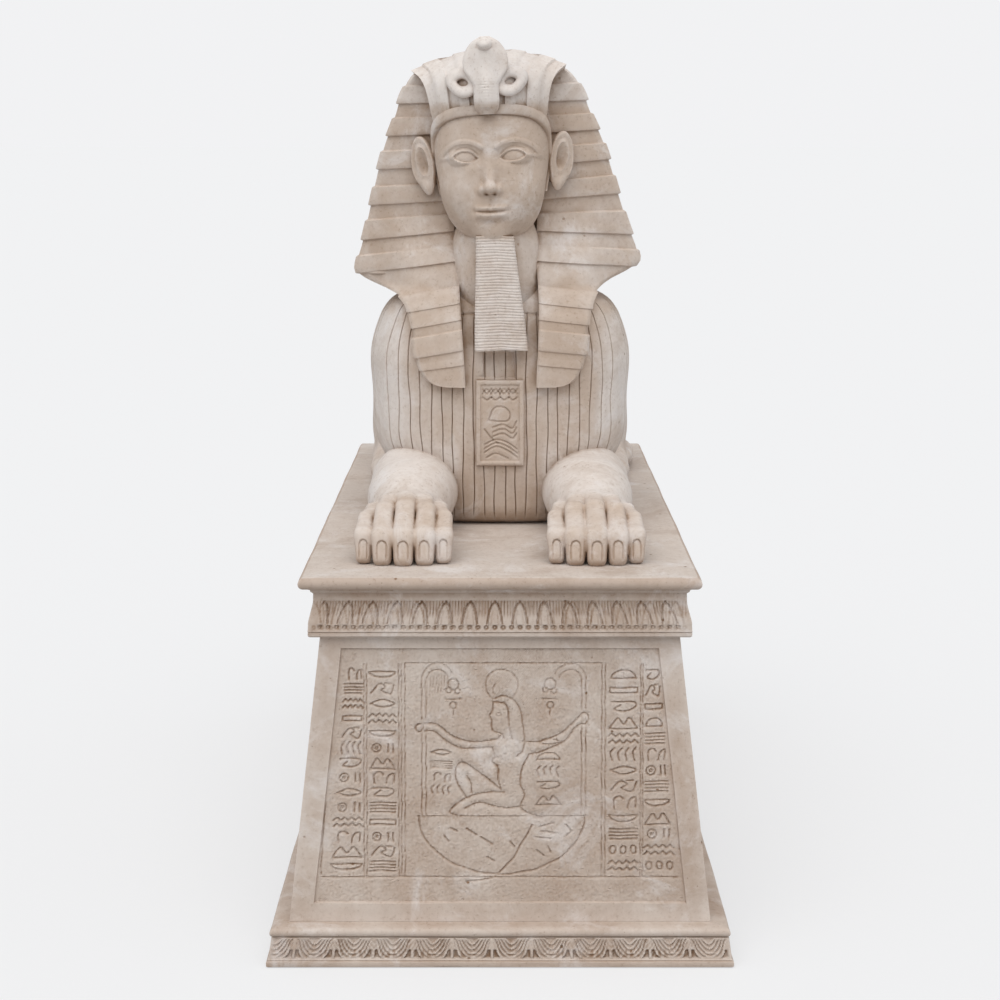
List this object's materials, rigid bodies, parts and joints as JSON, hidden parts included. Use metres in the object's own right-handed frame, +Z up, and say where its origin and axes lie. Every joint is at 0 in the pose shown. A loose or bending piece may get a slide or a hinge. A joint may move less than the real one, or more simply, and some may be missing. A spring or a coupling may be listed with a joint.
{
  "type": "sphinx statue",
  "caption": "Recumbent sphinx in a striped headcloth, with a cobra on the brow and a ribbed beard, resting on a battered plinth with moulded cap and foot.",
  "frame": {"origin": "centre of the plinth's underside, on the floor", "axes": "+Z up, the sphinx looks along -Y, +X to the sphinx's left"},
  "size_m": [0.83, 1.75, 1.6383],
  "materials": {
    "figure_stone": "matt, fine grained, dirt in the grooves",
    "plinth_stone": "matt, fine grained, stained under the mouldings"
  },
  "bodies": {
    "root": {"sphinx": "figure_stone", "plinth_cap": "plinth_stone", "plinth_die": "plinth_stone", "plinth_base": "plinth_stone"}
  },
  "joints": []
}
